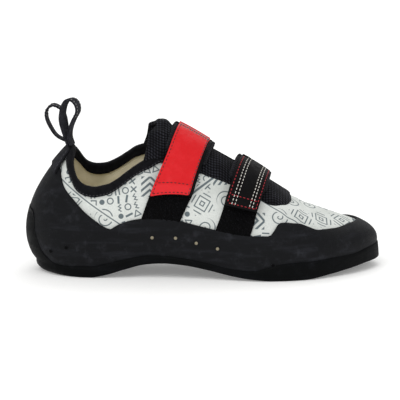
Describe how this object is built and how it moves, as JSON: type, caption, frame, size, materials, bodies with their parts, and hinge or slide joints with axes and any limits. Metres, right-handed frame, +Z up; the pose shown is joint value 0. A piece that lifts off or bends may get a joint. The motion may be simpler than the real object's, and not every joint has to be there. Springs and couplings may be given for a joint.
{
  "type": "climbing shoe",
  "caption": "Low rock-climbing shoe with a hollow patterned upper, rubber rand and smooth sole, heel pull loops and two hook-and-loop straps fastened over the tongue.",
  "frame": {"origin": "on the floor, under the middle of the whole shoe", "axes": "+X from heel to toe, +Y to the medial side, +Z up from the floor"},
  "size_m": [0.2598, 0.0948, 0.1284],
  "materials": {
    "sole_rubber": "smooth matt",
    "rand_rubber": "smooth matt",
    "footbed": "brushed",
    "upper_textile": "printed microfibre",
    "knit": "mesh knit",
    "tape": "folded tape",
    "webbing": "woven",
    "loop_pile": "looped pile",
    "elastic": "ribbed",
    "strap_red": "coated microfibre",
    "strap_black": "coated microfibre"
  },
  "bodies": {
    "root": {"outsole": "sole_rubber", "insole": "footbed", "upper": "upper_textile", "rand": "rand_rubber", "tongue": "knit", "collar_binding": "tape", "heel_tab": "webbing", "pull_loop_rear": "webbing", "pull_loop_front": "webbing", "loop_patch_rear": "loop_pile", "loop_patch_front": "loop_pile", "strap_base_rear": "elastic", "strap_base_front": "elastic", "strap_rear": "strap_red", "strap_front": "strap_black"}
  },
  "joints": []
}
